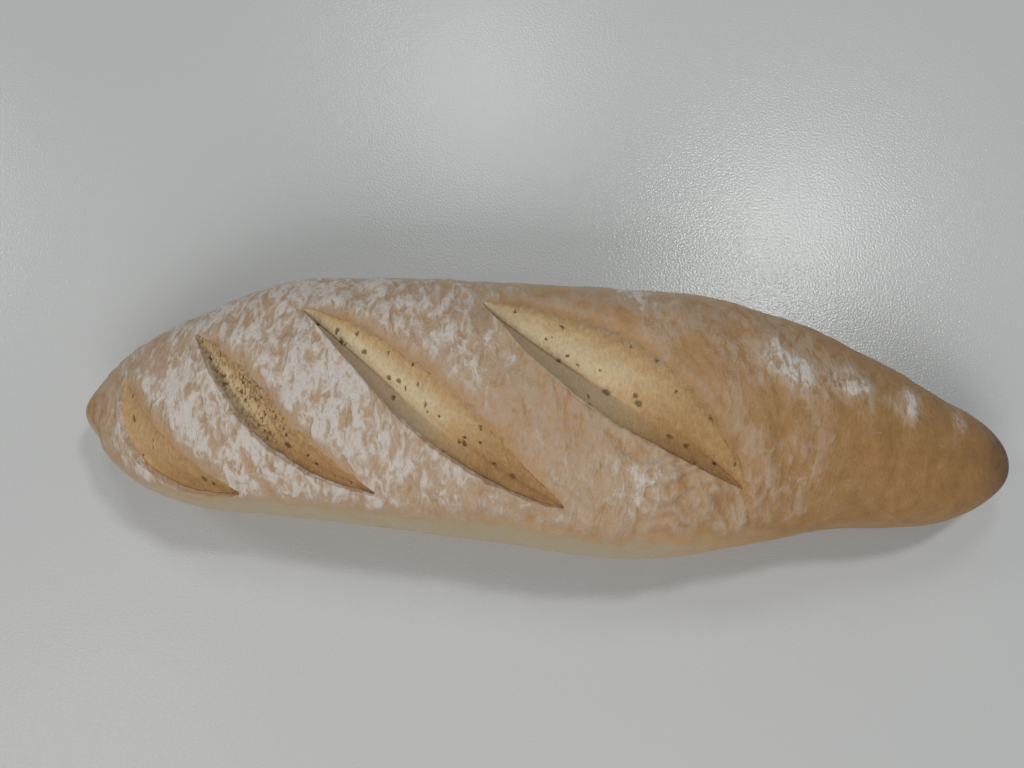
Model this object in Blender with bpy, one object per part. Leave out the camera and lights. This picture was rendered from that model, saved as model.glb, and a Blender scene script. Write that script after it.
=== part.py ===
"""Sourdough baguette with four slanting scores, as one bpy script.

The loaf lies along X with its flat baked base on z = 0, its near side facing -Y.  One function, loaf_point,
gives the baked form; the crust, the crumb and the base are nested slices of that form.  Each score has
two pieces of its own: the torn, baked bloom that rose in the cut (grigne) and the crust lip beside it (ear).
"""
import math

import bmesh
import bpy
from mathutils import Vector

MM = 0.001

# Driving dimensions, in millimetres until a point is placed
LENGTH = 306.0
HALF_LENGTH = LENGTH / 2
CRUST = 3.0  # baked crust over the crumb
SOLE = 2.6  # baked base crust
GAP = 0.3  # fit gap between touching pieces
TIP_ROUNDING = 10.0  # exponent of the rounded ends: higher is blunter
SECTION_POWER = 0.92  # 1 is an ellipse, lower is squarer

# Form along the loaf, as (x, value) stations joined by one smooth curve
HALF_WIDTHS = ((-153, 14.5), (-138, 23.8), (-112, 33), (-80, 39), (-40, 41.2), (0, 43), (20, 43.8),
               (45, 42.5), (75, 36), (100, 29), (128, 22.8), (153, 17.5))
CENTRES = ((-153, -5), (-132, -5), (-110, -2), (-85, 2), (-50, 2.5), (-20, 1.5), (20, -0.1), (60, 1),
           (85, 0.5), (110, -3.5), (130, -6.5), (153, -6.5))
CRESTS = ((-153, 29), (-128, 42), (-92, 51), (-40, 56), (10, 57), (55, 53), (90, 46.5), (122, 39), (153, 27))
WAISTS = ((-153, 18), (-110, 22), (-50, 23), (30, 23), (90, 21), (153, 16))
KEELS = ((-153, 9), (-130, 2), (-95, -4), (60, -4), (105, -1.5), (130, 3), (153, 8))

# Mesh density of the form
RINGS = 34
SPOKES = 32
SCORE_STEPS = 13

# Scores from the tail end: plan of the cut as four Bezier points, widest half width, depth of its valley
SCORES = (
    (((-134, 3), (-132, -10), (-119, -28), (-93, -30)), 6.0, 2.2),
    (((-111, 17), (-93, 2), (-86, -19), (-51, -28.5)), 5.6, 3.2),
    (((-77, 26), (-48, 10), (-26, -18), (5, -30.5)), 8.6, 4.6),
    (((-22, 31), (5, 16), (33, 1.5), (58, -22)), 12.2, 5.2),
)
TIP_HALF_WIDTH = 0.9  # a score never narrows to nothing
LENS_POWER = 0.7  # 1 is a sine-shaped opening, lower is fuller
# Bloom across the cut, from -1 on the ear's side to 1: place, and depth there as a share of the valley's
BLOOM_WALL = (-0.7, 0.5)
BLOOM_VALLEY = (-0.35, 1.0)
BLOOM_SLOPE = (0.1, 0.68)
BLOOM_BROW = (0.55, 0.32)
BLOOM_BELOW_VALLEY = 2.2  # thickness of the bloom under its deepest line
BLOOM_RIM = 0.5  # how far the bloom's edge stays under the crust's surface
EAR_OVERHANG = 0.8  # ear past the cut's edge
EAR_BACK = 3.2  # ear lying on the crust behind the edge
EAR_THICKNESS = 1.5
EAR_BACK_EDGE = 0.2  # thickness left at the back edge
EAR_FRONT_EDGE = 1.2  # thickness at the torn edge
CUT_ABOVE = 20.0
OPEN_TOP = ((-1, CUT_ABOVE), (0, CUT_ABOVE), (1, CUT_ABOVE))
CUT_BELOW = 9.0


def curve_at(stations, x):
    """Value at x of the smooth curve through the stations (a cubic between each two)."""
    xs = [s[0] for s in stations]
    ys = [s[1] for s in stations]
    last = len(stations) - 1
    x = min(max(x, xs[0]), xs[last])
    i = 0
    while i < last - 1 and x > xs[i + 1]:
        i += 1

    def slope(k):
        before = max(k - 1, 0)
        after = min(k + 1, last)
        return (ys[after] - ys[before]) / (xs[after] - xs[before])

    span = xs[i + 1] - xs[i]
    t = (x - xs[i]) / span
    ease_in = t * t * (3 - 2 * t)
    return (
        ys[i] * (1 - ease_in)
        + ys[i + 1] * ease_in
        + slope(i) * span * t * (1 - t) ** 2
        - slope(i + 1) * span * t * t * (1 - t)
    )


def tip_factor(x):
    """1 along the loaf, falling to 0 at its rounded tips."""
    return math.sqrt(max(0.0, 1 - abs(x / HALF_LENGTH) ** TIP_ROUNDING))


def signed_power(value, power):
    return math.copysign(abs(value) ** power, value)


def loaf_point(x, angle, inset):
    """A point of the baked form, or of the form inset under it, at station x and angle around the section."""
    end = tip_factor(x)
    half_width = curve_at(HALF_WIDTHS, x)
    waist = curve_at(WAISTS, x)
    if math.sin(angle) >= 0:
        rise = curve_at(CRESTS, x) - waist
    else:
        rise = waist - curve_at(KEELS, x)
    across = half_width * end * (1 - inset / half_width)
    height = rise * end * (1 - inset / rise)
    return Vector((
        x * (1 - inset / HALF_LENGTH),
        curve_at(CENTRES, x) + across * signed_power(math.cos(angle), SECTION_POWER),
        waist + height * signed_power(math.sin(angle), SECTION_POWER),
    ))


def crust_height(x, y):
    """Height of the baked form's upper surface over the plan point (x, y)."""
    end = tip_factor(x)
    reach = curve_at(HALF_WIDTHS, x) * end
    waist = curve_at(WAISTS, x)
    aside = min(abs(y - curve_at(CENTRES, x)) / reach, 1.0) ** (1 / SECTION_POWER)
    upward = math.sqrt(1 - aside * aside) ** SECTION_POWER
    return waist + (curve_at(CRESTS, x) - waist) * end * upward


def plain_material(name, colour, roughness):
    """An opaque, unmetallic finish in one colour."""
    material = bpy.data.materials.new(name)
    material.use_nodes = True
    shader = material.node_tree.nodes["Principled BSDF"]
    shader.inputs["Base Color"].default_value = (*colour, 1.0)
    shader.inputs["Roughness"].default_value = roughness
    shader.inputs["Metallic"].default_value = 0.0
    return material


def finish(name, shape, material):
    """Turn a closed bmesh into the scene object `name`, in metres, smooth but for its real edges."""
    bmesh.ops.recalc_face_normals(shape, faces=shape.faces)
    if shape.calc_volume(signed=True) < 0:
        bmesh.ops.reverse_faces(shape, faces=shape.faces)
    bmesh.ops.scale(shape, vec=(MM, MM, MM), verts=shape.verts)
    mesh = bpy.data.meshes.new(name)
    shape.to_mesh(mesh)
    shape.free()
    mesh.shade_smooth()
    mesh.set_sharp_from_angle(angle=math.radians(40))
    piece = bpy.data.objects.new(name, mesh)
    if material is not None:
        mesh.materials.append(material)
    bpy.context.collection.objects.link(piece)
    return piece


def as_cutter(piece):
    piece.hide_render = True
    piece.display_type = "WIRE"
    return piece


def loaf_form(inset):
    """The whole baked form, inset by some millimetres: a sphere's rings moved out to the loaf's sections."""
    shape = bmesh.new()
    bmesh.ops.create_uvsphere(shape, u_segments=SPOKES, v_segments=RINGS, radius=1.0)
    for vert in shape.verts:
        place = vert.co.copy()
        angle = math.atan2(place.y, place.x)
        vert.co = loaf_point(HALF_LENGTH * place.z, angle, inset)
    return shape


def slice_off(shape, height, keep_above):
    """Cut the form level at a height, keep one side and close the cut with a flat face."""
    cut = bmesh.ops.bisect_plane(
        shape,
        geom=shape.verts[:] + shape.edges[:] + shape.faces[:],
        plane_co=(0, 0, height),
        plane_no=(0, 0, 1),
        clear_inner=keep_above,
        clear_outer=not keep_above,
    )
    rim = [item for item in cut["geom_cut"] if isinstance(item, bmesh.types.BMEdge)]
    bmesh.ops.contextual_create(shape, geom=rim)
    return shape


def bezier(points, t):
    """A plan point of a cubic Bezier curve, and its direction there."""
    a, b, c, d = (Vector(p) for p in points)
    s = 1 - t
    place = a * s ** 3 + b * 3 * s * s * t + c * 3 * s * t * t + d * t ** 3
    heading = (b - a) * s * s + (c - b) * 2 * s * t + (d - c) * t * t
    return place, heading.normalized()


def score_strip(path, half_width, across, floor, margin=0.0):
    """A closed strip that follows a score.

    across lists (u, offset) pairs from the ear's side (u = -1) to the other (u = 1): the offset is how high
    the strip's top stands over the crust surface there, and floor is its underside's.  A margin widens and
    lengthens the strip.
    """
    shape = bmesh.new()
    columns = len(across)
    bmesh.ops.create_grid(shape, x_segments=SCORE_STEPS, y_segments=columns - 1, size=1.0)
    upper = list(shape.verts)
    for vert in upper:
        t = (vert.co.x + 1) / 2
        column = round((vert.co.y + 1) / 2 * (columns - 1))
        u, offset = across[column]
        place, heading = bezier(path, t)
        if t < 0.001:
            place = place - heading * margin
        if t > 0.999:
            place = place + heading * margin
        reach = TIP_HALF_WIDTH + (half_width - TIP_HALF_WIDTH) * math.sin(math.pi * t) ** LENS_POWER + margin
        side = Vector((-heading.y, heading.x))
        plan = place + side * u * reach
        vert.co = (plan.x, plan.y, crust_height(plan.x, plan.y) + offset)
    grown = bmesh.ops.extrude_face_region(shape, geom=shape.faces[:])
    for item in grown["geom"]:
        if isinstance(item, bmesh.types.BMVert):
            item.co.z = crust_height(item.co.x, item.co.y) + floor
    return shape


def cut_away(piece, *cutters):
    """Subtract the cutters from the piece, one Boolean each."""
    for cutter in cutters:
        modifier = piece.modifiers.new("cut_" + cutter.name, "BOOLEAN")
        modifier.operation = "DIFFERENCE"
        modifier.solver = "EXACT"
        modifier.object = cutter


def make_sole(material):
    """The flat base crust, the loaf's only bearing face."""
    shape = slice_off(loaf_form(0.0), 0.0, keep_above=True)
    slice_off(shape, SOLE, keep_above=False)
    return finish("sole_crust", shape, material)


def make_upper_crust(material):
    """The crust over the top, sides and ends, open at the base and along each score."""
    crust = finish("upper_crust", slice_off(loaf_form(0.0), SOLE + GAP, keep_above=True), material)
    hollow = as_cutter(finish("crumb_space", loaf_form(CRUST), None))
    cuts = [
        as_cutter(finish("score_cut_%d" % (i + 1), score_strip(path, half, OPEN_TOP, -CUT_BELOW, GAP), None))
        for i, (path, half, depth) in enumerate(SCORES)
    ]
    cut_away(crust, hollow, *cuts)
    return crust


def make_crumb(material):
    """The soft crumb that fills the crust, with a bed for each score's bloom."""
    crumb = finish("crumb_core", slice_off(loaf_form(CRUST + GAP), SOLE + GAP, keep_above=True), material)
    beds = []
    for i, (path, half, depth) in enumerate(SCORES):
        floor = -(depth + BLOOM_BELOW_VALLEY + GAP)
        bed = score_strip(path, half, OPEN_TOP, floor, GAP)
        beds.append(as_cutter(finish("bloom_bed_%d" % (i + 1), bed, None)))
    cut_away(crumb, *beds)
    return crumb


def make_grigne(number, path, half, depth, material):
    """The bloom in one score: a valley that is steep under the ear and rises gently on the other side."""
    inner = [(u, -share * depth) for u, share in (BLOOM_WALL, BLOOM_VALLEY, BLOOM_SLOPE, BLOOM_BROW)]
    across = [(-1.0, -BLOOM_RIM), *inner, (1.0, -BLOOM_RIM)]
    shape = score_strip(path, half, across, -(depth + BLOOM_BELOW_VALLEY))
    return finish("grigne_%d" % number, shape, material)


def make_ear(number, path, half, material):
    """The lip of crust that the rising dough lifted along one side of the score."""
    back = -1 - EAR_BACK / half
    front = -1 + EAR_OVERHANG / half
    across = (
        (back, GAP + EAR_BACK_EDGE),
        (0.5 * (back + front), GAP + EAR_THICKNESS),
        (front, GAP + EAR_FRONT_EDGE),
    )
    return finish("ear_%d" % number, score_strip(path, half, across, GAP), material)


def clear_scene():
    for thing in list(bpy.data.objects):
        bpy.data.objects.remove(thing, do_unlink=True)


def build():
    clear_scene()
    make_sole(plain_material("base_crust", (0.20, 0.105, 0.042), 0.8))
    make_upper_crust(plain_material("floured_crust", (0.40, 0.27, 0.16), 0.85))
    make_crumb(plain_material("crumb", (0.62, 0.52, 0.38), 0.9))
    bloom = plain_material("baked_bloom", (0.42, 0.27, 0.11), 0.75)
    lip = plain_material("ear_crust", (0.26, 0.14, 0.06), 0.75)
    for i, (path, half, depth) in enumerate(SCORES):
        make_grigne(i + 1, path, half, depth, bloom)
        make_ear(i + 1, path, half, lip)


build()
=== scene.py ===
import math

import bmesh
import bpy
import numpy as np
from mathutils import Matrix, Vector, noise


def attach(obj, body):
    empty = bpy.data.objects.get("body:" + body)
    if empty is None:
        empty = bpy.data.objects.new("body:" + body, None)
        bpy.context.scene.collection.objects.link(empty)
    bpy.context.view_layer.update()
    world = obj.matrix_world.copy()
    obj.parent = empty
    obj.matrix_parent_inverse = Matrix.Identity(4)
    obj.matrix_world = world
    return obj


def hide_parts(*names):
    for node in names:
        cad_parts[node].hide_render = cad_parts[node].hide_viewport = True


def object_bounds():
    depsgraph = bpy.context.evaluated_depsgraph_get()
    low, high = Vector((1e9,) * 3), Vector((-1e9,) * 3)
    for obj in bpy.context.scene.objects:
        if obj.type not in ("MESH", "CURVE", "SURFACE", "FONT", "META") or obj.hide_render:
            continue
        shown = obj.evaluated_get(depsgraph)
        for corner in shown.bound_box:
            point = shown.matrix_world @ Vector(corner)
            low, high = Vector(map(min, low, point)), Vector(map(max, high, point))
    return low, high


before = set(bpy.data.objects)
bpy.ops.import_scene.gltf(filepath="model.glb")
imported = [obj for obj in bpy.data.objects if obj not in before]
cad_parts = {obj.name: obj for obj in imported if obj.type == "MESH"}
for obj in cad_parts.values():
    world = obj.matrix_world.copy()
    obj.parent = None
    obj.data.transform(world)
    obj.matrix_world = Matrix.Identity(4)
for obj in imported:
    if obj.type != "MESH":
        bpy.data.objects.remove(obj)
cad_low, cad_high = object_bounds()
MM = 0.001

# ---------------------------------------------------------------------------------------------
# The viewer stands at the loaf's near side and looks almost straight down on it, the loaf turned
# a few degrees on the worktop.
middle = (cad_low + cad_high) / 2
VIEW_HEIGHT_ANGLE = math.radians(79.0)
VIEW_TURN = math.radians(3.04)
VIEW_DISTANCE = 0.2864
aim = Vector((middle.x - 0.0123, middle.y + 0.0099, 0.0268))
across_view = Vector((math.cos(VIEW_TURN), math.sin(VIEW_TURN), 0))
away = Vector((-math.sin(VIEW_TURN), math.cos(VIEW_TURN), 0))
to_viewer = -math.cos(VIEW_HEIGHT_ANGLE) * away + Vector((0, 0, math.sin(VIEW_HEIGHT_ANGLE)))
eye = aim + to_viewer * VIEW_DISTANCE
camera_data = bpy.data.cameras.new("viewer")
camera_data.lens = 30.9
camera_data.clip_start = 0.01
viewer = bpy.data.objects.new("viewer", camera_data)
bpy.context.collection.objects.link(viewer)
up_view = to_viewer.cross(across_view)
turn = Matrix((across_view, up_view, to_viewer)).transposed().to_4x4()
viewer.matrix_world = Matrix.Translation(eye) @ turn
bpy.context.scene.camera = viewer
bpy.context.scene.view_settings.view_transform = "Standard"


# ---------------------------------------------------------------------------------------------
# Worktop: a plain pale laminate sheet with a fine orange-peel gloss.  Soft light falls on it from a
# window to the left, two ceiling lamps beyond the loaf, a wide fill on the near side and a faint warm lamp.
class Wire:
    """One socket of a material, so that shader maths is written as sums."""

    def __init__(self, finish, socket):
        self.finish = finish
        self.socket = socket

    def by(self, operation, first, second):
        return self.finish.node("ShaderNodeMath", {"operation": operation}, {0: first, 1: second})

    def __add__(self, other):
        return self.by("ADD", self, other)

    def __radd__(self, other):
        return self.by("ADD", other, self)

    def __sub__(self, other):
        return self.by("SUBTRACT", self, other)

    def __rsub__(self, other):
        return self.by("SUBTRACT", other, self)

    def __mul__(self, other):
        return self.by("MULTIPLY", self, other)

    def __rmul__(self, other):
        return self.by("MULTIPLY", other, self)

    def __pow__(self, other):
        return self.by("POWER", self, other)


class Finish:
    """A material with one Principled shader, and the means to wire its inputs."""

    def __init__(self, name):
        self.material = bpy.data.materials.new(name)
        self.material.use_nodes = True
        self.tree = self.material.node_tree
        self.shader = self.tree.nodes["Principled BSDF"]

    def plug(self, socket, value):
        if isinstance(value, Wire):
            self.tree.links.new(value.socket, socket)
        else:
            socket.default_value = value

    def node(self, kind, settings, inputs, output=0):
        made = self.tree.nodes.new(kind)
        for key, value in settings.items():
            if key == "stops":
                ramp = made.color_ramp
                for place, colour in value[1:-1]:
                    ramp.elements.new(place).color = (*colour, 1)
                ends = (ramp.elements[0], ramp.elements[-1])
                for element, (place, colour) in zip(ends, (value[0], value[-1])):
                    element.position = place
                    element.color = (*colour, 1)
            else:
                setattr(made, key, value)
        for key, value in inputs.items():
            self.plug(made.inputs[key], value)
        return Wire(self, made.outputs[output])

    def set(self, **inputs):
        for key, value in inputs.items():
            self.plug(self.shader.inputs[key.replace("_", " ")], value)

    def place(self, stretch=(1, 1, 1)):
        """Object coordinates in millimetres, squeezed along each axis."""
        spot = self.node("ShaderNodeTexCoord", {}, {}, output=3)
        factors = [1000 * s for s in stretch]
        return self.node("ShaderNodeVectorMath", {"operation": "MULTIPLY"}, {0: spot, 1: factors})

    def grain(self, size, stretch=(1, 1, 1), detail=2.0, rough=0.5, twist=0.0):
        """Soft noise from 0 to 1 with lumps of `size` millimetres."""
        return self.node(
            "ShaderNodeTexNoise", {},
            {"Vector": self.place(stretch), "Scale": 1 / size, "Detail": detail, "Roughness": rough,
             "Distortion": twist},
        )

    def band(self, value, low, high, bottom=0.0, top=1.0):
        """A smooth step of value from low to high."""
        return self.node(
            "ShaderNodeMapRange", {"interpolation_type": "SMOOTHSTEP"},
            {"Value": value, "From Min": low, "From Max": high, "To Min": bottom, "To Max": top},
        )

    def mix(self, factor, first, second, blend="MIX"):
        def colour(value):
            return value if isinstance(value, Wire) else (*value, 1)

        return self.node(
            "ShaderNodeMix", {"data_type": "RGBA", "blend_type": blend},
            {0: factor, 6: colour(first), 7: colour(second)}, output=2,
        )

    def painted(self, name):
        """A number that the mesh carries at each vertex."""
        return self.node("ShaderNodeAttribute", {"attribute_name": name}, {}, output=2)


def laminate():
    finish = Finish("laminate")
    peel = finish.grain(0.8, detail=2.0)
    lift = finish.node("ShaderNodeBump", {}, {"Strength": 0.5, "Distance": 0.0002, "Height": peel})
    finish.set(Base_Color=(0.70, 0.715, 0.72, 1), Roughness=0.23, Normal=lift)
    return finish.material


sheet = bmesh.new()
bmesh.ops.create_grid(sheet, x_segments=2, y_segments=2, size=1.6)
sheet_mesh = bpy.data.meshes.new("worktop")
sheet.to_mesh(sheet_mesh)
sheet.free()
worktop = bpy.data.objects.new("worktop", sheet_mesh)
sheet_mesh.materials.append(laminate())
bpy.context.collection.objects.link(worktop)


def soft_lamp(name, spot, aim_at, size, power, colour):
    lamp = bpy.data.lights.new(name, "AREA")
    lamp.shape = "RECTANGLE"
    lamp.size, lamp.size_y = size
    lamp.energy = power
    lamp.color = colour
    holder = bpy.data.objects.new(name, lamp)
    bpy.context.collection.objects.link(holder)
    holder.location = spot
    holder.rotation_euler = (Vector(aim_at) - Vector(spot)).to_track_quat("-Z", "Y").to_euler()
    return holder


soft_lamp("window_lamp", (-1.0, 0.42, 0.8), (0, 0, 0.02), (0.25, 0.25), 1.55, (1.0, 0.99, 0.97))
soft_lamp("ceiling_lamp", (-0.10, 0.67, 1.0), (0, 0, 0.02), (0.22, 0.22), 1.15, (0.93, 0.98, 1.0))
soft_lamp("side_lamp", (0.36, 0.41, 1.0), (0, 0, 0.02), (0.12, 0.12), 2.3, (0.98, 1.0, 0.97))
soft_lamp("near_fill", (-0.1, -0.75, 0.65), (0, 0, 0.02), (0.9, 0.5), 4.0, (1.0, 0.98, 0.95))
soft_lamp("warm_lamp", (-0.60, -0.32, 1.0), (0, 0, 0.02), (0.2, 0.2), 0.35, (1.0, 0.72, 0.55))
room = bpy.data.worlds.new("room")
room.use_nodes = True
room.node_tree.nodes["Background"].inputs["Color"].default_value = (0.94, 0.98, 1.0, 1)
room.node_tree.nodes["Background"].inputs["Strength"].default_value = 0.14
bpy.context.scene.world = room

# ---------------------------------------------------------------------------------------------
# Crumb: the sponge of baked dough that fills the loaf.  It shows only where a bloom or the crust
# is opened, so the imported solid keeps its shape and takes a pale, porous finish with painted shade in its
# pores.
def crumb_finish():
    finish = Finish("crumb")
    cells = finish.node("ShaderNodeTexVoronoi", {}, {"Vector": finish.place(), "Scale": 0.45})
    hollow = finish.band(cells, 0.1, 0.55)
    # Painted shade: the middle of each cell, dented by the bump, is coloured dark brown as a pore in shade.
    colour = finish.mix(hollow, (0.38, 0.26, 0.14), (0.66, 0.56, 0.40))
    lift = finish.node("ShaderNodeBump", {}, {"Strength": 0.8, "Distance": 0.001, "Height": hollow})
    finish.set(Base_Color=colour, Roughness=0.9, Normal=lift)
    return finish.material


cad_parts["crumb_core"].material_slots[0].material = crumb_finish()

# ---------------------------------------------------------------------------------------------
# Base crust: the flat, darker foot on which the loaf baked.  Its outline is a low slice of the
# loaf's own form, a hair wider than the crust above, with a rounded edge.
HALF_LENGTH = 153.0
TIP_ROUNDING = 10.0
SECTION_POWER = 0.92
HALF_WIDTHS = ((-153, 14.5), (-138, 23.8), (-112, 33), (-80, 39), (-40, 41.2), (0, 43), (20, 43.8),
               (45, 42.5), (75, 36), (100, 29), (128, 22.8), (153, 17.5))
CENTRES = ((-153, -5), (-132, -5), (-110, -2), (-85, 2), (-50, 2.5), (-20, 1.5), (20, -0.1), (60, 1),
           (85, 0.5), (110, -3.5), (130, -6.5), (153, -6.5))
CRESTS = ((-153, 29), (-128, 42), (-92, 51), (-40, 56), (10, 57), (55, 53), (90, 46.5), (122, 39), (153, 27))
WAISTS = ((-153, 18), (-110, 22), (-50, 23), (30, 23), (90, 21), (153, 16))
KEELS = ((-153, 9), (-130, 2), (-95, -4), (60, -4), (105, -1.5), (130, 3), (153, 8))


def curve_at(stations, x):
    """Values at x of the smooth curve through the stations."""
    xs, ys = np.array(stations, float).T
    order = np.arange(len(xs))
    before = np.maximum(order - 1, 0)
    after = np.minimum(order + 1, len(xs) - 1)
    slopes = (ys[after] - ys[before]) / (xs[after] - xs[before])
    i = np.clip(np.searchsorted(xs, x) - 1, 0, len(xs) - 2)
    span = xs[i + 1] - xs[i]
    t = np.clip((x - xs[i]) / span, 0, 1)
    ease = t * t * (3 - 2 * t)
    bow = span * t * (1 - t)
    return ys[i] * (1 - ease) + ys[i + 1] * ease + bow * (slopes[i] * (1 - t) - slopes[i + 1] * t)


def tip_factor(x):
    return np.sqrt(np.maximum(0.0, 1 - np.abs(x / HALF_LENGTH) ** TIP_ROUNDING))


def loaf_points(x, angle, inset=0.0):
    """Points of the baked form, in millimetres, at stations x and angles around the section."""
    end = tip_factor(x)
    half_width = curve_at(HALF_WIDTHS, x)
    waist = curve_at(WAISTS, x)
    up = np.sin(angle)
    rise = np.where(up >= 0, curve_at(CRESTS, x) - waist, waist - curve_at(KEELS, x))
    out = np.cos(angle)
    y = curve_at(CENTRES, x) + (half_width - inset) * end * np.sign(out) * np.abs(out) ** SECTION_POWER
    z = waist + (rise - inset) * end * np.sign(up) * np.abs(up) ** SECTION_POWER
    return np.column_stack((x * (1 - inset / HALF_LENGTH), y, z))


def get_points(mesh):
    flat = np.empty(len(mesh.vertices) * 3)
    mesh.vertices.foreach_get("co", flat)
    return flat.reshape(-1, 3)


def set_points(mesh, points):
    mesh.vertices.foreach_set("co", np.ascontiguousarray(points, float).ravel())
    mesh.update()


def closed_sleeve(name, rings, spokes):
    """A closed ball of rings and spokes: its mesh, and each point's way from pole to pole and angle."""
    shape = bmesh.new()
    bmesh.ops.create_grid(shape, x_segments=rings, y_segments=spokes, size=0.5)
    bmesh.ops.translate(shape, verts=shape.verts, vec=(0.5, 0.5, 0))
    grid = np.array([vert.co for vert in shape.verts])
    width = np.sin(np.pi * np.clip(grid[:, 0], 0, 1))
    angle = 2 * np.pi * grid[:, 1]
    ball = np.column_stack((-np.cos(np.pi * grid[:, 0]), width * np.cos(angle), width * np.sin(angle)))
    for vert, place in zip(shape.verts, ball):
        vert.co = place
    bmesh.ops.remove_doubles(shape, verts=shape.verts, dist=1e-5)
    bmesh.ops.recalc_face_normals(shape, faces=shape.faces)
    mesh = bpy.data.meshes.new(name)
    shape.to_mesh(mesh)
    shape.free()
    ball = get_points(mesh)
    return mesh, np.arccos(np.clip(-ball[:, 0], -1, 1)) / np.pi, np.arctan2(ball[:, 2], ball[:, 1])


def loaf_shell(name, rings, spokes, inset=0.0, crowd=0.3):
    """The loaf's form as a closed mesh in millimetres; crowd draws the spokes together on top."""
    mesh, way, around = closed_sleeve(name, rings, spokes)
    x = HALF_LENGTH * (0.8 * (2 * way - 1) - 0.2 * np.cos(np.pi * way))
    set_points(mesh, loaf_points(x, around + crowd * np.cos(around), inset))
    return mesh


def new_piece(name, mesh, material):
    """Put a finished mesh in the scene as a piece of the loaf."""
    piece = bpy.data.objects.new(name, mesh)
    mesh.materials.clear()
    if material is not None:
        mesh.materials.append(material)
    bpy.context.collection.objects.link(piece)
    return piece


def softly(points, size, seed=0.0, stretch=(1, 1, 1)):
    """Soft noise from -1 to 1 at each point, with lumps of `size` millimetres."""
    scaled = points * (np.array(stretch) / size) + seed
    return np.array([noise.noise(Vector(p)) for p in scaled])


def broad_form(points, normals):
    """Large, gentle unevenness that hand shaping leaves, shared by the crust and its base."""
    swell = 0.9 * softly(points, 34, 3.0) + 0.35 * softly(points, 13, 11.0)
    return points + normals * swell[:, None] * np.clip(points[:, 2:3] / 12, 0, 1)


def get_normals(mesh):
    flat = np.empty(len(mesh.vertices) * 3)
    mesh.vertex_normals.foreach_get("vector", flat)
    return flat.reshape(-1, 3)


BASE_HEIGHT = 3.0


def base_finish():
    finish = Finish("base_crust")
    patches = finish.grain(9, detail=4, rough=0.6)
    specks = finish.grain(0.9, detail=3)
    tone = finish.node(
        "ShaderNodeValToRGB",
        {"stops": ((0.3, (0.10, 0.045, 0.018)), (0.55, (0.24, 0.125, 0.05)), (0.75, (0.42, 0.27, 0.13)))},
        {0: 0.7 * patches + 0.3 * specks},
    )
    dust = finish.band(finish.grain(2.2, detail=5, rough=0.7), 0.56, 0.68, top=0.6)
    colour = finish.mix(dust, tone, (0.62, 0.54, 0.43))
    rough = patches + specks
    lift = finish.node("ShaderNodeBump", {}, {"Strength": 0.6, "Distance": 0.0004, "Height": rough})
    finish.set(Base_Color=colour, Roughness=0.85, Normal=lift)
    return finish.material


foot_mesh = loaf_shell("base_crust", 220, 128, crowd=-0.2)
foot_points = broad_form(get_points(foot_mesh), get_normals(foot_mesh))
foot_points += get_normals(foot_mesh) * 0.3
set_points(foot_mesh, foot_points * MM)
foot = bmesh.new()
foot.from_mesh(foot_mesh)
for height, above in ((0.0, True), (BASE_HEIGHT * MM, False)):
    cut = bmesh.ops.bisect_plane(
        foot, geom=foot.verts[:] + foot.edges[:] + foot.faces[:], plane_co=(0, 0, height), plane_no=(0, 0, 1),
        clear_inner=above, clear_outer=not above,
    )
    rim = [item for item in cut["geom_cut"] if isinstance(item, bmesh.types.BMEdge)]
    bmesh.ops.contextual_create(foot, geom=rim)
bmesh.ops.recalc_face_normals(foot, faces=foot.faces)
rims = [edge for edge in foot.edges if len(edge.link_faces) == 2 and edge.calc_face_angle(0) > 0.6]
bmesh.ops.bevel(foot, geom=rims, offset=0.5 * MM, segments=3, profile=0.5, affect="EDGES", material=-1)
foot.to_mesh(foot_mesh)
foot.free()
foot_mesh.shade_smooth()
foot_mesh.set_sharp_from_angle(angle=math.radians(50))
base_crust = new_piece("base_crust", foot_mesh, base_finish())
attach(base_crust, "root")
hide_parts("sole_crust")

# ---------------------------------------------------------------------------------------------
# Crust: the baked skin, about 3 mm thick, split open along four slanting scores.  The bands
# between them swell, wrinkle across the loaf and keep the flour that dusted the proving cloth.
CRUST_THICKNESS = 3.0
SCORES = (
    {"path": ((-134, 3), (-132, -10), (-119, -28), (-93, -30)), "half": 6.3, "depth": 1.5,
     "shoulder": 0.0, "slump": 0.5},
    {"path": ((-111, 17), (-93, 2), (-86, -19), (-51, -28.5)), "half": 5.4, "depth": 3.0,
     "shoulder": 0.2, "slump": 0.9},
    {"path": ((-77, 26), (-48, 10), (-26, -18), (5, -30.5)), "half": 8.4, "depth": 4.4,
     "shoulder": 0.25, "slump": 1.1},
    {"path": ((-22, 31), (5, 16), (33, 1.5), (58, -22)), "half": 12.4, "depth": 4.6,
     "shoulder": -0.2, "slump": 1.2},
)
TIP_HALF_WIDTH = 0.5


def form_height(x, y):
    end = tip_factor(x)
    reach = np.maximum(curve_at(HALF_WIDTHS, x) * end, 0.01)
    waist = curve_at(WAISTS, x)
    aside = np.minimum(np.abs(y - curve_at(CENTRES, x)) / reach, 1.0) ** (1 / SECTION_POWER)
    return waist + (curve_at(CRESTS, x) - waist) * end * np.sqrt(1 - aside * aside) ** SECTION_POWER


def lift_from_form(x, y, offset):
    """Points a distance above (or below) the loaf's upper surface, measured square to it."""
    step = 0.4
    slope_x = (form_height(x + step, y) - form_height(x - step, y)) / (2 * step)
    slope_y = (form_height(x, y + step) - form_height(x, y - step)) / (2 * step)
    normal = np.column_stack((-slope_x, -slope_y, np.ones_like(x)))
    normal /= np.linalg.norm(normal, axis=1)[:, None]
    ground = np.column_stack((x, y, form_height(x, y)))
    return broad_form(ground, normal) + normal * offset[:, None]


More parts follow.
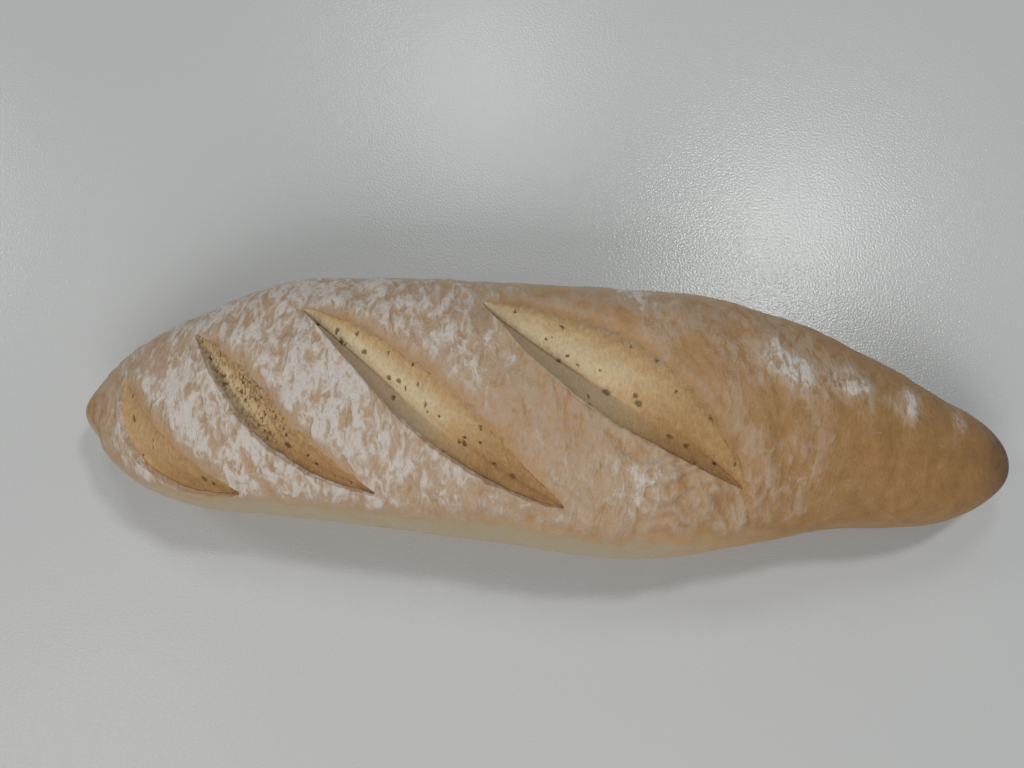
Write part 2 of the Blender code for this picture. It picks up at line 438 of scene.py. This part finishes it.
def score_line(score, t):
    """Places and unit headings in plan along a score, a cubic Bezier curve."""
    a, b, c, d = np.array(score["path"], float)
    t = t[:, None]
    s = 1 - t
    place = a * s ** 3 + b * 3 * s * s * t + c * 3 * s * t * t + d * t ** 3
    heading = (b - a) * s * s + (c - b) * 2 * s * t + (d - c) * t * t
    return place, heading / np.linalg.norm(heading, axis=1)[:, None]


def score_reach(score, t, side):
    """Half width of the cut on the ear's side (-1) or the other (1), with the torn edge's wander."""
    stations = np.linspace(0, 1, 500)
    length = math.dist(score["path"][0], score["path"][3])
    fray = 1.0 if side > 0 else 0.55
    wander = [
        0.8 * noise.noise(Vector((v * length / 9, 9.0 * side, score["half"])))
        + 0.5 * noise.noise(Vector((v * length / 2.4, 4.0 * side, score["half"])))
        for v in stations
    ]
    lens = np.clip(np.sin(np.pi * np.clip(t, 0, 1)), 0, 1) ** 0.85
    return TIP_HALF_WIDTH + (score["half"] - TIP_HALF_WIDTH + fray * np.interp(t, stations, wander)) * lens


def in_score(score, x, y):
    """Where plan points lie beside a score: t along it, and how far aside, negative towards the ear."""
    ts = np.linspace(0, 1, 160)
    line, heading = score_line(score, ts)
    t = np.zeros(len(x))
    aside = np.full(len(x), 1e3)
    near = (x > line[:, 0].min() - 30) & (x < line[:, 0].max() + 30)
    here = np.column_stack((x[near], y[near]))
    gaps = ((here[:, None, :] - line[None, :, :]) ** 2).sum(2)
    nearest = gaps.argmin(1)
    delta = here - line[nearest]
    cross = heading[nearest, 0] * delta[:, 1] - heading[nearest, 1] * delta[:, 0]
    t[near] = ts[nearest]
    aside[near] = np.sign(cross) * np.sqrt(gaps.min(1))
    return t, aside


def sheet_mesh_of(name, steps, lanes):
    """A flat grid whose x runs 0 to 1 along a score and y runs 0 to 1 across it."""
    shape = bmesh.new()
    bmesh.ops.create_grid(shape, x_segments=steps, y_segments=lanes, size=0.5)
    bmesh.ops.translate(shape, verts=shape.verts, vec=(0.5, 0.5, 0))
    mesh = bpy.data.meshes.new(name)
    shape.to_mesh(mesh)
    shape.free()
    return mesh


def score_cutter(score, number):
    """The space that a score opened: a trench through the crust, wider at the top."""
    mesh = sheet_mesh_of("trench_%d" % number, 160, 6)
    shape = bmesh.new()
    shape.from_mesh(mesh)
    top = list(shape.verts)
    grown = bmesh.ops.extrude_face_region(shape, geom=shape.faces[:])
    bottom = {item for item in grown["geom"] if isinstance(item, bmesh.types.BMVert)}
    for depth_layer, verts in ((6.0, top), (-8.5, list(bottom))):
        flat = np.array([vert.co for vert in verts])
        t, u = flat[:, 0], 2 * flat[:, 1] - 1
        place, heading = score_line(score, t)
        reach = np.where(u < 0, score_reach(score, t, -1), score_reach(score, t, 1))
        narrow = 1.0 if depth_layer > 0 else 0.8
        plan = place + np.column_stack((-heading[:, 1], heading[:, 0])) * (u * reach * narrow)[:, None]
        moved = lift_from_form(plan[:, 0], plan[:, 1], np.full(len(t), depth_layer))
        for vert, point in zip(verts, moved):
            vert.co = point
    bmesh.ops.recalc_face_normals(shape, faces=shape.faces)
    if shape.calc_volume(signed=True) < 0:
        bmesh.ops.reverse_faces(shape, faces=shape.faces)
    shape.to_mesh(mesh)
    shape.free()
    return new_piece("trench_%d" % number, mesh, None)


def baked(piece, name):
    """The piece's mesh with its modifiers applied."""
    picture = bpy.context.evaluated_depsgraph_get()
    mesh = bpy.data.meshes.new_from_object(piece.evaluated_get(picture), depsgraph=picture)
    mesh.name = name
    return mesh


def band_relief(points):
    """Wrinkles that run across the loaf, about 3 mm apart and bending as they go."""
    bend = 7 * softly(points, 26, 5.0)
    sheared = points.copy()
    sheared[:, 0] += 0.25 * points[:, 1] + bend
    ribs = 1 - 2 * np.abs(softly(sheared, 4.6, 8.0, (1.0, 0.30, 0.3)))
    fine = softly(sheared, 1.9, 2.0, (1.0, 0.4, 0.4))
    return 0.6 * ribs + 0.4 * fine


def blend(value, low, high):
    """A smooth step from 0 to 1 as value goes from low to high."""
    t = np.clip((value - low) / (high - low), 0, 1)
    return t * t * (3 - 2 * t)


def dab(x, y, spot, reach):
    """A soft round patch, 1 at its middle."""
    return np.exp(-((x - spot[0]) ** 2 + (y - spot[1]) ** 2) / reach ** 2)


def crust_lift(skin, up):
    """How far the finished crust stands above the loaf's broad form."""
    x, y, z = skin.T
    lift = np.zeros(len(skin))
    for score in SCORES:
        t, aside = in_score(score, x, y)
        gape = np.clip(np.sin(np.pi * t), 0, 1) ** 0.5 * (up > 0)
        left = np.maximum(-aside - score_reach(score, t, -1), 0)
        right = np.maximum(aside - score_reach(score, t, 1), 0)
        lift += score["shoulder"] * gape * np.exp(-(left / 2.6) ** 2) * (aside < 0)
        lift -= score["slump"] * gape * np.exp(-(right / 3.6) ** 2) * (aside > 0)
    near_end, mouth = score_line(SCORES[-1], np.array((0.88, 0.6)))[0]
    torn = dab(x, y, near_end + (-4, -9), 14)
    calm = blend(x, 60, 95)
    waist = curve_at(WAISTS, x)
    topside = blend((z - waist) / np.maximum(curve_at(CRESTS, x) - waist, 1), 0.15, 0.6)
    lift += (0.7 + 0.9 * torn - 0.5 * calm) * band_relief(skin) * topside
    lift += (1.0 + 2.0 * torn - 0.3 * calm) * softly(skin, 7.5, 21.0, (1.0, 0.6, 0.6)) * topside
    folds = np.sin(1.35 * np.hypot(x - mouth[0], y - mouth[1]) + 2.5 * softly(skin, 8, 61.0))
    foot_of_third = np.array(SCORES[2]["path"][3])
    lift += 0.85 * folds * (dab(x, y, near_end + (-12, -5), 11) + 0.5 * dab(x, y, foot_of_third, 9)) * topside
    lift -= 1.6 * dab(x, y, mouth + (-4, -SCORES[-1]["half"] - 3), 2.2)
    lift -= 0.6 * np.exp(-((x + 144.5) / 1.6) ** 2) * blend(z, 4, 12) * blend(-y, -6, 2)
    return lift


crust_mesh = loaf_shell("crust", 420, 224)
skin = broad_form(get_points(crust_mesh), get_normals(crust_mesh))
upward = get_normals(crust_mesh)
skin = skin + upward * crust_lift(skin, upward[:, 2])[:, None]
knob = blend(-skin[:, 0], 142.5, 145.5)
skin[:, 1] += (-4 - skin[:, 1]) * knob * np.where(skin[:, 1] < -4, 0.12, -0.04)
set_points(crust_mesh, skin)
crust_blank = new_piece("crust_blank", crust_mesh, None)
hollow = new_piece("hollow", loaf_shell("hollow", 60, 48, inset=CRUST_THICKNESS, crowd=0.0), None)
cutters = [hollow] + [score_cutter(score, i + 1) for i, score in enumerate(SCORES)]
openings = bpy.data.collections.new("openings")
bpy.context.scene.collection.children.link(openings)
for cutter in cutters:
    openings.objects.link(cutter)
cut = crust_blank.modifiers.new("openings", "BOOLEAN")
cut.operation = "DIFFERENCE"
cut.solver = "MANIFOLD"
cut.operand_type = "COLLECTION"
cut.collection = openings
crust_mesh = baked(crust_blank, "crust")
for scrap in [crust_blank] + cutters:
    bpy.data.objects.remove(scrap, do_unlink=True)
bpy.data.collections.remove(openings)
floor_cut = bmesh.new()
floor_cut.from_mesh(crust_mesh)
cut = bmesh.ops.bisect_plane(
    floor_cut, geom=floor_cut.verts[:] + floor_cut.edges[:] + floor_cut.faces[:], plane_co=(0, 0, 2.0),
    plane_no=(0, 0, 1), clear_inner=True,
)
rim = [item for item in cut["geom_cut"] if isinstance(item, bmesh.types.BMEdge)]
bmesh.ops.holes_fill(floor_cut, edges=rim, sides=0)
floor_cut.to_mesh(crust_mesh)
floor_cut.free()


def paint(mesh, name, values):
    layer = mesh.attributes.new(name, "FLOAT", "POINT")
    layer.data.foreach_set("value", np.ascontiguousarray(values, np.float32))


def dusting(finish, flour, relief, tone):
    """Flour over a baked colour: a thin pinkish veil, then white streaks that run across the loaf."""
    streak = finish.grain(2.8, (1.0, 0.45, 0.45), detail=3, rough=0.55, twist=1.3)
    clump = finish.grain(6, (1.0, 0.7, 0.7), detail=3, rough=0.6, twist=0.8)
    wrinkle = finish.grain(1.5, (1.0, 0.45, 0.45), detail=2, rough=0.5, twist=0.8)
    amount = flour * (0.9 + 2.6 * (streak - 0.5) + 2.3 * (clump - 0.5) + 1.1 * (wrinkle - 0.5) + 0.5 * relief)
    veiled = finish.mix(0.78 * finish.band(amount, 0.10, 0.45), tone, (0.56, 0.41, 0.29))
    white = finish.band(amount, 0.45, 1.05)
    return finish.mix(0.85 * white, veiled, (0.78, 0.73, 0.685)), white, streak + 0.5 * wrinkle


def crust_finish():
    finish = Finish("floured_crust")
    mottle = finish.grain(5, detail=5, rough=0.7)
    # The tone follows the painted bake, which also darkens the bare tip as painted shade.
    tone = finish.node(
        "ShaderNodeValToRGB",
        {"stops": ((0.15, (0.50, 0.415, 0.275)), (0.4, (0.54, 0.32, 0.150)), (0.62, (0.40, 0.212, 0.074)),
                   (0.9, (0.17, 0.08, 0.035)))},
        {0: finish.painted("bake") + 0.42 * (mottle - 0.5)},
    )
    fleck = finish.band(finish.grain(2.6, (0.6, 1.3, 1.0), detail=3, rough=0.6), 0.62, 0.72)
    flecked = finish.mix(0.22 * fleck, tone, (0.66, 0.52, 0.43))
    flour = finish.painted("flour")
    colour, white, streak = dusting(finish, flour, finish.painted("relief"), flecked)
    powder = finish.grain(0.6, detail=3)
    height = streak * (0.08 + 1.0 * flour) + 0.15 * powder + 0.3 * mottle
    lift = finish.node("ShaderNodeBump", {}, {"Strength": 1.0, "Distance": 0.0013, "Height": height})
    finish.set(Base_Color=colour, Roughness=finish.band(white, 0, 0.6, 0.5, 0.9), Normal=lift)
    return finish.material


# Flour kept on each band between two scores, from its far end to its near end.
BAND_FLOUR = ((0.55, 0.85, 0.85, 0.85, 0.65), (0.6, 0.85, 0.9, 0.7, 0.6), (0.7, 0.65, 0.3, 0.3, 0.6))
BAND_REACH = 8.5
# Past the last score: a bare strip, two floured places behind it, and a trail of shrinking patches.
BARE_STRIP = {"aside": 7, "reach": 8.0, "amount": 0.04}
FAR_PLACES = {"aside": 17, "reach": 7.0, "amount": 0.8}
TRAIL = {"patches": 4, "start": (72, 17), "step": (19, -4), "reach": 7.5, "amount": 0.9}


def flour_places():
    """Each place where flour lies thicker or thinner than around it, with its reach and amount."""
    places = []
    steps = np.linspace(0.08, 0.92, 5)
    for number, amounts in enumerate(BAND_FLOUR):
        before = score_line(SCORES[number], steps)[0]
        after = score_line(SCORES[number + 1], steps)[0]
        for middle, amount in zip((before + after) / 2, amounts):
            places.append((middle, BAND_REACH, amount))
    last = SCORES[-1]
    line, heading = score_line(last, np.array((0.15, 0.4, 0.65, 0.9)))
    aside = np.column_stack((-heading[:, 1], heading[:, 0]))
    for place, side in zip(line, aside):
        middle = place + side * (last["half"] + BARE_STRIP["aside"])
        places.append((middle, BARE_STRIP["reach"], BARE_STRIP["amount"]))
    for place, side in zip(line[:2], aside[:2]):
        middle = place + side * (last["half"] + FAR_PLACES["aside"])
        places.append((middle, FAR_PLACES["reach"], FAR_PLACES["amount"]))
    for number in range(TRAIL["patches"]):
        middle = np.array(TRAIL["start"]) + number * np.array(TRAIL["step"])
        places.append((middle, TRAIL["reach"] - 1.1 * number, TRAIL["amount"] - 0.05 * number))
    return places


# How much flour there is, and how dark the bake is, from the tail end to the bare end; the steep
# darkening over the bare tip is partly painted shade.
FLOUR_ALONG = ((-153, 0.1), (-138, 0.5), (-120, 0.68), (-60, 0.68), (-20, 0.46), (50, 0.3), (72, 0.24),
               (95, 0.11), (153, 0.06))
BAKE_AND_TIP_SHADE_ALONG = ((-153, 0.62), (-142, 0.56), (-130, 0.42), (-90, 0.38), (20, 0.44), (60, 0.55), (100, 0.6),
              (138, 0.66), (147, 0.85), (153, 1.0))


def paint_crust(mesh, points):
    """Paint flour, bake (with painted shade over the bare tip) and relief on a crust piece, given its points
    in millimetres.
    """
    x, y, z = points.T
    waist = curve_at(WAISTS, x)
    height = (z - waist) / np.maximum(curve_at(CRESTS, x) - waist, 1)
    flour = curve_at(FLOUR_ALONG, x)
    drift_x = x + 5 * softly(points, 9, 41.0)
    drift_y = y + 6 * softly(points, 9, 47.0)
    for middle, reach, amount in flour_places():
        flour += (amount - flour) * dab(drift_x, drift_y, middle, reach)
    bare_below = np.where(y < 0, 0.52, 0.30)
    flour *= blend(height, bare_below - 0.1, bare_below + 0.15)
    for score in SCORES:
        t, aside = in_score(score, x, y)
        right = np.maximum(aside - score_reach(score, t, 1), 0)
        flour *= 1 - 0.75 * np.exp(-(right / 2.4) ** 2) * (aside > 0) * blend(t, 0, 0.1) * blend(-t, -1, -0.9)
    # Painted shade: the bake rises steeply over the last few millimetres of the bare tip, shade as well as
    # browning.
    bake = curve_at(BAKE_AND_TIP_SHADE_ALONG, x)
    bake += (0.16 - bake) * blend(-height, -0.62, -0.40) * blend(-x, -85, -20) * blend(z, 4, 16)
    bake += 0.12 * blend(-z, -12, -2)
    paint(mesh, "relief", band_relief(points))
    paint(mesh, "flour", flour)
    paint(mesh, "bake", bake)


skin = get_points(crust_mesh)
paint_crust(crust_mesh, skin)
set_points(crust_mesh, skin * MM)
crust_mesh.shade_smooth()
crust_mesh.set_sharp_from_angle(angle=math.radians(50))
crust_material = crust_finish()
crust = new_piece("crust", crust_mesh, crust_material)
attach(crust, "root")
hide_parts("upper_crust")

# ---------------------------------------------------------------------------------------------
# Blooms: in each score the dough tore open, rose and baked.  Each is a valley of torn crumb, steep
# under the ear and rising gently over the crust's edge on the other side.
def scatter(spots, pitch, seed):
    """Distance from each spot to the nearest of a loose set of points, and that point's own luck, 0 to 1."""
    places = spots / pitch
    cell = np.floor(places)
    gap = np.full(len(spots), 9.0)
    luck = np.zeros(len(spots))
    for step_x in (-1, 0, 1):
        for step_y in (-1, 0, 1):
            home = cell + (step_x, step_y)
            mixed = home @ np.array(((127.1, 269.5, 419.2), (311.7, 183.3, 371.9))) + seed
            dice = np.modf(np.abs(np.sin(mixed)) * 43758.5)[0]
            away = np.linalg.norm(places - home - dice[:, :2], axis=1)
            closer = away < gap
            gap = np.where(closer, away, gap)
            luck = np.where(closer, dice[:, 2], luck)
    return gap * pitch, luck


def bloom_finish():
    finish = Finish("baked_bloom")
    mottle = finish.grain(3, detail=4, rough=0.65)
    fibre = finish.grain(0.9, (1.0, 0.45, 0.45), detail=4, rough=0.65)
    # The tone follows the painted bake, which carries painted shade under the ear's lip and along the crease.
    tone = finish.node(
        "ShaderNodeValToRGB",
        {"stops": ((0.1, (0.80, 0.65, 0.42)), (0.4, (0.66, 0.44, 0.22)), (0.65, (0.50, 0.29, 0.112)),
                   (0.9, (0.32, 0.165, 0.065)))},
        {0: finish.painted("bake") + 0.32 * (mottle - 0.5) + 0.4 * (fibre - 0.5)},
    )
    # Painted shade, with a little thin flour: the near wall under the ear takes a duller grey-brown.
    wall_shade_tone = finish.mix(mottle, (0.31, 0.20, 0.125), (0.49, 0.345, 0.225))
    shaded = finish.mix(finish.painted("wall"), tone, wall_shade_tone)
    # Painted shade: fine specks over the porous part are dented and coloured dark brown, as shade in small
    # pores.
    speck_mask = finish.band(finish.grain(0.8, (1.0, 0.55, 0.55), detail=3, rough=0.7), 0.36, 0.5, 1.0, 0.0)
    speck_shaded = finish.mix(finish.painted("grit") * speck_mask, shaded, (0.27, 0.165, 0.085))
    dusted, white, streak = dusting(finish, finish.painted("flour"), 0.0, speck_shaded)
    # Painted shade: pores, torn holes and the valley crease are coloured near black-brown.
    colour = finish.mix(0.8 * finish.band(finish.painted("pit"), 0.15, 0.85), dusted, (0.17, 0.10, 0.043))
    height = fibre - 0.8 * finish.painted("grit") * speck_mask + 0.3 * streak
    lift = finish.node("ShaderNodeBump", {}, {"Strength": 0.8, "Distance": 0.0008, "Height": height})
    finish.set(Base_Color=colour, Roughness=0.72, Normal=lift)
    return finish.material


bloom_material = bloom_finish()
# Across each bloom, from the ear's side to the far side: how deep it lies, as a share of its depth.
VALLEYS = (
    ((-1.08, -0.7), (-0.85, -0.9), (-0.4, -1.0), (0.2, -0.8), (0.7, -0.45), (1.0, -0.25), (1.2, -0.6)),
    ((-1.08, -0.5), (-0.85, -0.66), (-0.45, -1.0), (0.1, -0.66), (0.6, -0.27), (0.95, 0.0), (1.2, -0.3)),
    ((-1.08, -0.36), (-0.85, -0.5), (-0.36, -1.0), (-0.05, -0.66), (0.35, -0.3), (0.8, -0.03), (1.2, -0.22)),
    ((-1.08, -0.2), (-0.85, -0.4), (-0.30, -1.0), (-0.1, -0.66), (0.3, -0.26), (0.8, 0.0), (1.2, -0.22)),
)
# Baking colour of each bloom, how much painted shade greys its near wall under the ear, how many pores it
# shows and where they stop.
BLOOM_LOOKS = (
    {"floor": -0.4, "pale": 0.42, "gold": 0.60, "wall": 0.0,
     "pores": 0.04, "until": 1.0, "pitch": 2.0, "crease": 0.0},
    {"floor": -0.45, "pale": 0.25, "gold": 0.62, "wall": 0.55,
     "pores": 0.33, "until": 0.62, "pitch": 1.5, "crease": 0.0},
    {"floor": -0.36, "pale": 0.04, "gold": 0.64, "wall": 0.7,
     "pores": 0.07, "until": 0.8, "pitch": 2.4, "crease": 0.7},
    {"floor": -0.30, "pale": 0.14, "gold": 0.60, "wall": 0.65,
     "pores": 0.06, "until": 1.0, "pitch": 2.4, "crease": 0.8},
)
# How many larger holes each bloom tore open, and where across it their row runs.
HOLE_ROWS = ((2, 0.0), (4, -0.1), (9, 0.05), (9, -0.22))


def torn_holes(number):
    """Larger holes of one bloom: place along it, place across it, and radius."""
    count, row = HOLE_ROWS[number - 1]
    for place in range(count):
        dice = np.modf(np.abs(np.sin((place + 1.0) * (12.9 + number) * np.array((1.0, 2.3, 3.7)))) * 437.5)[0]
        yield 0.2 + 0.7 * (place + dice[0]) / count, row + 0.5 * (dice[1] - 0.5), 0.5 + 0.9 * dice[2] ** 2


def bloom_piece(number, score, valley, look):
    mesh = sheet_mesh_of("bloom_%d" % number, 420, 110)
    flat = get_points(mesh)
    t, u = flat[:, 0], -1.08 + 2.28 * flat[:, 1]
    place, heading = score_line(score, t)
    reach = np.where(u < 0, score_reach(score, t, -1), score_reach(score, t, 1))
    plan = place + np.column_stack((-heading[:, 1], heading[:, 0])) * (u * reach)[:, None]
    x, y = plan.T
    gape = np.clip(np.sin(np.pi * t), 0, 1) ** 0.5
    ground = np.column_stack((x, y, np.zeros(len(t))))
    span = math.dist(score["path"][0], score["path"][3])
    drawn = np.column_stack((t * span / 1.3, u * reach / 4.0, np.zeros(len(t))))
    fibres = softly(drawn, 1.0, 7.0 + number)
    lumps = softly(ground, 3.0, 17.0)
    porous = look["pores"] * blend(-t, -look["until"] - 0.25, -look["until"] + 0.1)
    warp = np.column_stack((softly(ground, 1.1, 31.0), softly(ground, 1.1, 37.0)))
    gap, luck = scatter((plan + 0.7 * warp) * (1.0, 0.6), look["pitch"], 3.0 * number)
    size = look["pitch"] * (0.14 + 0.26 * np.modf(luck * 7.1)[0])
    pit = np.where(luck < porous + 0.02, np.clip(1.3 - gap / size, 0, 1), 0.0)
    for hole_t, hole_u, radius in torn_holes(number):
        along = (t - hole_t) * span + 0.4 * warp[:, 0]
        across = (u - hole_u) * reach + 0.4 * warp[:, 1]
        pit = np.maximum(pit, np.clip(1.5 - 1.5 * np.hypot(along / 1.4, across) / radius, 0, 1))
    crease = look["crease"] * np.exp(-((u - look["floor"]) / 0.045) ** 2) * blend(-t, -0.6, -0.35)
    depth = curve_at(valley, u) * score["depth"] * gape - 0.35
    rough = 0.10 + 0.22 * blend(u, 0.2, 1.0) + 0.2 * porous
    rise = depth + rough * fibres + 0.3 * lumps - 0.7 * pit - 0.7 * crease
    points = lift_from_form(x, y, rise)
    set_points(mesh, points)
    low_end = blend(t, 0.4, 0.8)
    # Painted shade: marks the near wall, under the ear, for the grey-brown tone; it also adds a little flour.
    wall = look["wall"] * blend(-u, -look["floor"] - 0.06, -look["floor"] + 0.06) * (1 - low_end)
    bake = look["pale"] + (look["gold"] - look["pale"]) * np.maximum(0.75 * blend(u, -0.1, 0.95), low_end)
    low_wall = 0.12 * low_end * blend(-u, -0.3, 0.3)
    # Painted shade: the bake darkens along the ear's edge from a third of the way down, for the shadow under
    # the lip, and along the valley crease.
    bake += 0.5 * blend(-u, 0.8, 1.0) * blend(t, 0.3, 0.6) + 0.25 * crease + low_wall
    # Painted shade: pit marks the pores, torn holes and crease for that dark colour.
    paint(mesh, "pit", np.clip(pit + 0.7 * crease, 0, 0.85))
    # Painted shade: how strongly the dark, dented pore specks show.
    paint(mesh, "grit", np.clip(1.8 * porous, 0.12, 0.9))
    paint(mesh, "bake", bake)
    paint(mesh, "wall", wall)
    paint(mesh, "flour", 0.45 * blend(u, 0.7, 1.15) * blend(-t, -0.8, -0.5) + 0.12 * wall)
    body = bmesh.new()
    body.from_mesh(mesh)
    edge = [item for item in body.edges if item.is_boundary]
    grown = bmesh.ops.extrude_edge_only(body, edges=edge)
    skirt = [item for item in grown["geom"] if isinstance(item, bmesh.types.BMVert)]
    bmesh.ops.translate(body, verts=skirt, vec=(0, 0, -3.0))
    bmesh.ops.holes_fill(body, edges=[item for item in body.edges if item.is_boundary], sides=0)
    bmesh.ops.recalc_face_normals(body, faces=body.faces)
    bmesh.ops.scale(body, verts=body.verts, vec=(MM, MM, MM))
    body.to_mesh(mesh)
    body.free()
    mesh.shade_smooth()
    mesh.set_sharp_from_angle(angle=math.radians(60))
    piece = new_piece("bloom_%d" % number, mesh, bloom_material)
    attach(piece, "root")
    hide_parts("grigne_%d" % number)


for i, (score, valley, look) in enumerate(zip(SCORES, VALLEYS, BLOOM_LOOKS)):
    bloom_piece(i + 1, score, valley, look)

# ---------------------------------------------------------------------------------------------
# Ears: the lip of crust that lifted along the lower left edge of each score.  It is the same
# floured skin, thin at its torn edge, and stands highest along the lower half of a score.
LIP = ((-5.0, -0.9), (-3.4, -0.12), (-2.2, 0.1), (-1.0, 0.3), (-0.2, 0.4), (0.4, 0.3), (0.8, -0.05),
       (0.6, -0.45), (0.1, -0.8), (-0.6, -1.7), (-2.6, -2.2), (-5.0, -1.8))
EAR_HEIGHTS = (
    ((0, 0.3), (0.5, 0.4), (1, 0.3)),
    ((0, 0.3), (0.3, 0.7), (0.8, 1.0), (1, 0.4)),
    ((0, 0.3), (0.35, 0.7), (0.8, 1.1), (1, 0.4)),
    ((0, 0.2), (0.4, 0.35), (0.62, 1.5), (0.75, 1.3), (1, 0.4)),
)


def ear_piece(number, score, heights):
    mesh, way, around = closed_sleeve("lip_%d" % number, 360, 36)
    t = 0.02 + 0.96 * way
    turn_share = np.mod(around / (2 * math.pi), 1.0)
    lip = np.array(LIP + LIP[:1])
    walk = np.concatenate(((0,), np.cumsum(np.linalg.norm(np.diff(lip, axis=0), axis=1))))
    share = turn_share * walk[-1]
    inward = np.interp(share, walk, lip[:, 0])
    above = np.interp(share, walk, lip[:, 1])
    taper = np.clip(np.sin(math.pi * (t - 0.02) / 0.96), 0, 1) ** 0.45
    tall = curve_at(heights, t)
    place, heading = score_line(score, t)
    ragged = 0.7 * softly(np.column_stack((t * 30, t * 0, t * 0)), 1.0, 5.0 * number)
    torn_edge = inward * np.where(inward > 0, tall, 1.0) + ragged * blend(inward, -1.5, 0.5)
    aside = -score_reach(score, t, -1) + torn_edge * taper
    plan = place + np.column_stack((-heading[:, 1], heading[:, 0])) * aside[:, None]
    ground = lift_from_form(plan[:, 0], plan[:, 1], np.zeros(len(t)))
    standing = crust_lift(ground, np.ones(len(t)))
    raised = np.where(above > 0, above * tall, above) * taper - 0.5 * (1 - taper)
    points = lift_from_form(plan[:, 0], plan[:, 1], standing + raised)
    set_points(mesh, points)
    body = bmesh.new()
    body.from_mesh(mesh)
    bmesh.ops.recalc_face_normals(body, faces=body.faces)
    if body.calc_volume(signed=True) < 0:
        bmesh.ops.reverse_faces(body, faces=body.faces)
    body.to_mesh(mesh)
    body.free()
    paint_crust(mesh, get_points(mesh))
    set_points(mesh, get_points(mesh) * MM)
    mesh.shade_smooth()
    piece = new_piece("lip_%d" % number, mesh, crust_material)
    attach(piece, "root")
    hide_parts("ear_%d" % number)


for i, (score, heights) in enumerate(zip(SCORES, EAR_HEIGHTS)):
    ear_piece(i + 1, score, heights)
